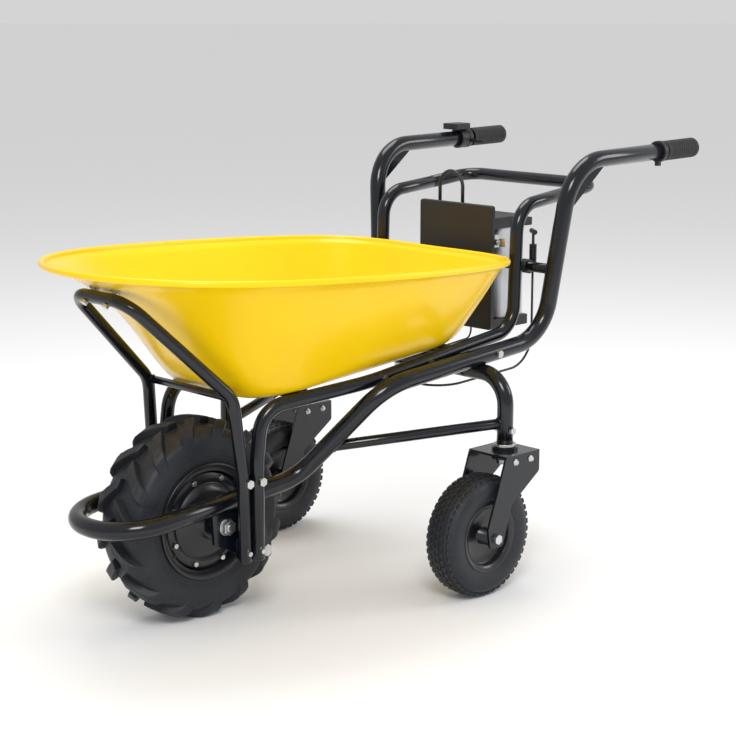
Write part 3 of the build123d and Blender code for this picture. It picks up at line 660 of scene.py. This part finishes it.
stem_angle = math.radians(212)
stem_spoke = Vector((math.cos(stem_angle), 0, math.sin(stem_angle)))
stem_base = hub + stem_spoke * 99 * mm - across * 50 * mm
stem_out = (stem_spoke * 0.25 - across).normalized()
stem_profile = [(0.3, 0), (4.2, 0), (4.2, 3), (3.0, 6), (2.9, 10), (2.6, 10.6), (2.6, 14), (0.3, 14)]
valve = lathed("drive_valve", stem_base - stem_out * 6 * mm, stem_out, stem_profile, black_plastic,
               "drive_wheel", sides=20)

# ---- Casters ----
# Each caster hangs from a stem clamped in the leg. Its fork is pressed from steel plate round a bearing
# hub, and its wheel is a steel rim with a pneumatic tyre moulded in small blocks.
caster_r = 127
caster_trail = 80
screw_z = 278
screw_head = [(0.3, -1), (7.2, -1), (7.2, 0.6), (6.8, 1.0), (5.2, 1.0), (5.2, 4.6), (4.4, 5.2), (0.3, 5.2)]
caster_carcass = [(66, 25), (67.5, 30.5), (72, 33.5), (80, 36.6), (90, 38.6), (98, 38.9), (106, 38),
                  (113, 34.6), (118, 29.5), (121.5, 23.5), (123.4, 16), (124.4, 8), (124.7, 0)]
caster_section = caster_carcass + [(r, -w) for r, w in reversed(caster_carcass[:-1])]
caster_rim_section = [(6.1, -44.8), (16, -44.8), (17, -43.8), (17, -14), (20, -13), (58, -17), (60, -18.5),
                      (60.4, -30), (61.5, -31.6), (72, -35.6), (74, -35.4), (74.4, -34.2), (73.6, -33.2),
                      (67, -28.5), (66, -27)]
caster_rim_section += [(r, -w) for r, w in reversed(caster_rim_section)]


def fork_screws(side, s):
    """Two bolt heads on each outer face of a fork, under its bearing hub."""
    for fx in (22, -24):
        for wall_side in (-1, 1):
            place = at(leg_x + fx, s * leg_half + wall_side * 52, screw_z)
            head = lathed(f"fork_screw_{side}_{fx + 24}_{wall_side + 1}", place, Vector((0, wall_side, 0)),
                          screw_head, zinc, f"caster_fork_{side}", sides=6)


def caster_tread(side, centre):
    """Six staggered rows of small blocks round a caster's tyre, the outer two leaning over the shoulder."""
    # place across the tyre, half width, and the radii of foot and top
    rows = [(-25.5, 5.2, 119.2, 121.8), (-15.5, 3.9, 122.6, 125.9), (-5.2, 3.7, 123.6, 126.9),
            (5.2, 3.7, 123.6, 126.9), (15.5, 3.9, 122.6, 125.9), (25.5, 5.2, 119.2, 121.8)]
    blocks = 46
    top_limit = caster_r - 0.1
    verts, faces = [], []
    for row, (w, half_w, foot, top) in enumerate(rows):
        outer = abs(w) > 20
        tilt = 2.2 if w > 0 else -2.2
        lean = math.copysign(2.6, w) if outer else 0
        for n in range(blocks):
            turn = 2 * math.pi * (n + 0.5 * (row % 2)) / blocks
            base = len(verts)
            for r, f in ((foot - 2, 1.12), (top, 0.9)):
                for dw, dh in ((-1, -1), (1, -1), (1, 1), (-1, 1)):
                    drop = lean * dw * 0.6
                    radius = r - (abs(drop) if drop * w > 0 else -abs(drop) * 0.6)
                    a = turn + (dh * 5.4 * f + tilt * dw) / radius
                    outward = Vector((-math.sin(a), 0, math.cos(a)))
                    place = w + dw * half_w * f
                    verts.append(centre + outward * min(radius, top_limit) * mm + across * place * mm)
            faces += [(base, base + 1, base + 5, base + 4), (base + 1, base + 2, base + 6, base + 5),
                      (base + 2, base + 3, base + 7, base + 6), (base + 3, base, base + 4, base + 7),
                      (base + 4, base + 5, base + 6, base + 7), (base, base + 3, base + 2, base + 1)]
    tread = mesh_piece(f"caster_tread_{side}", verts, faces, tyre_rubber, f"caster_wheel_{side}",
                       smooth=False)


for side, s in (("left", -1), ("right", 1)):
    fork_body = f"caster_fork_{side}"
    wheel_body = f"caster_wheel_{side}"
    fork = eased(f"caster_fork_{side}", f"fork_pressing_{side}", black_coat, fork_body, bevel=1.6, steps=3)
    bolt = eased(f"caster_axle_{side}", f"caster_bolt_{side}", zinc, fork_body, bevel=0.9)
    fork_screws(side, s)
    centre = at(leg_x - caster_trail, s * leg_half, caster_r)
    tyre = lathed(f"caster_tyre_carcass_{side}", centre, across, caster_section, tyre_rubber, wheel_body,
                  sides=96)
    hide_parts(f"caster_tyre_{side}")
    caster_tread(side, centre)
    rim = lathed(f"caster_rim_turning_{side}", centre, across, caster_rim_section, enamel, wheel_body)
    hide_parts(f"caster_rim_{side}")
stems = eased("caster_stems", "caster_stem_bars", zinc, "chassis")

# ---- Power pack ----
# The control box and battery hang on the crossbar. A black moulded cover faces the tray, the light grey
# battery sits behind it on a black base, and a lead loops between two glands on the lid.
for node in ("pack_cover", "pack_clamps", "pack_base", "battery_lid", "lead_glands"):
    part = eased(node, f"{node}_moulding", black_plastic, "chassis", bevel=1.2, steps=3)
case_grey = finish("light grey plastic", (0.60, 0.62, 0.66), (0.52, 0.54, 0.58), (0.3, 0.45), grain=1600,
                   grain_depth=0.15)
case = eased("battery_case", "battery_shell", case_grey, "chassis", bevel=1.5, steps=3)
lead_points = [(806, 26, 750), (806, 26, 826), (806, 96, 826), (806, 96, 750)]
lead_line = bent([at(*p) for p in lead_points], [34.9, 34.9], steps=16)
sheath = finish("cable sheath", (0.012, 0.012, 0.013), (0.02, 0.02, 0.021), (0.35, 0.5))
lead = piped("pack_lead_cable", lead_line, 4, sheath, "chassis", sides=20)
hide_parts("pack_lead")
sense_line = bent([at(778, -30, 490), at(778, -30, 462), at(617, -70, 462)], [20])
sense = piped("latch_wire_cable", sense_line, 2, sheath, "chassis", sides=14)
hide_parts("latch_wire")
lock = eased("key_switch", "key_barrel", zinc, "chassis", bevel=0.8)
key = eased("key", "key_blade", zinc, "key", bevel=0.5)

# ---- Tray latch and its release ----
# A zinc-plated cross shaft with hook plates turns in blocks clamped on the leg hoop. A T-shaped knob on
# the crossbar pulls it through a sheathed cable.
for node, material, slot in (("latch_blocks", black_plastic, "plastic_black"),
                             ("knob_post", black_coat, "frame_black"), ("cable_stop", zinc, "zinc"),
                             ("rest_pads", rubber, "grip_rubber"), ("latch_spring", zinc, "zinc")):
    part = eased(node, f"{node}_part", material, "chassis", bevel=0 if node == "latch_spring" else 1.0)
for node in ("latch_shaft", "latch_plates"):
    part = eased(node, f"{node}_part", zinc, "latch", bevel=0.6)
knob = eased("release_knob", "release_handle", black_plastic, "release_knob", bevel=0.8)
cable_points = [(799, -190, 628), (799, -190, 424), (515, -190, 410), (515, -9.5, 410), (580, -9.5, 410)]
cable_line = bent([at(*p) for p in cable_points], [70, 60, 50], steps=14)
cable = piped("release_cable_sheath", cable_line, 2.5, sheath, "chassis", sides=16)
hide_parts("release_cable")

# ---- Bolts ----
# Bright zinc-plated hexagon bolts hold the stems, the hoop, the feet of the tipping frame and the tray.
for node, body in (("frame_bolts", "chassis"), ("tip_frame_bolts", "tray_frame"),
                   ("pivot_bolts", "tray_frame"), ("tray_bolts", "tray_frame")):
    part = eased(node, f"{node}_heads", zinc, body, bevel=0.7)

# ---- Floor, light and camera ----
# A plain pale floor under soft studio light, seen from ahead and to the left of the machine.
floor_mesh = bpy.data.meshes.new("studio floor")
floor_mesh.from_pydata([(-300, -300, 0), (300, -300, 0), (300, 300, 0), (-300, 300, 0)], [], [(0, 1, 2, 3)])
floor = bpy.data.objects.new("studio floor", floor_mesh)
pale = bpy.data.materials.new("pale floor")
pale.use_nodes = True
pale.node_tree.nodes["Principled BSDF"].inputs["Base Color"].default_value = (0.96, 0.96, 0.96, 1)
pale.node_tree.nodes["Principled BSDF"].inputs["Roughness"].default_value = 0.8
floor_mesh.materials.append(pale)
bpy.context.scene.collection.objects.link(floor)
world = bpy.data.worlds.new("studio")
world.use_nodes = True
world.node_tree.nodes["Background"].inputs["Color"].default_value = (1, 1, 1, 1)
world.node_tree.nodes["Background"].inputs["Strength"].default_value = 0.66
bpy.context.scene.world = world
for name, place, size, power in (("key light", (-2.4, -2.6, 3.2), 1.3, 80),
                                 ("fill light", (3.2, -2.4, 2.0), 1.4, 32),
                                 ("top light", (0.4, 0.9, 3.8), 2.0, 62)):
    lamp = bpy.data.lights.new(name, "AREA")
    lamp.size = size
    lamp.energy = power
    stand = bpy.data.objects.new(name, lamp)
    stand.location = place
    stand.rotation_mode = "QUATERNION"
    stand.rotation_quaternion = (Vector((0, 0, 0.4)) - Vector(place)).to_track_quat("-Z", "Y")
    bpy.context.scene.collection.objects.link(stand)
bpy.context.scene.view_settings.view_transform = "Standard"

eye = at(-2075, -2662, 1197)
azimuth = math.radians(-43.9)
elevation = math.radians(11.75)
level = math.cos(elevation)
back = Vector((math.sin(azimuth) * level, -math.cos(azimuth) * level, math.sin(elevation)))
camera_data = bpy.data.cameras.new("camera")
camera_data.sensor_width = 36
camera_data.lens = 86
camera = bpy.data.objects.new("camera", camera_data)
camera.location = eye
camera.rotation_mode = "QUATERNION"
camera.rotation_quaternion = (-back).to_track_quat("-Z", "Y")
camera_data.clip_end = 100
bpy.context.scene.collection.objects.link(camera)
bpy.context.scene.camera = camera
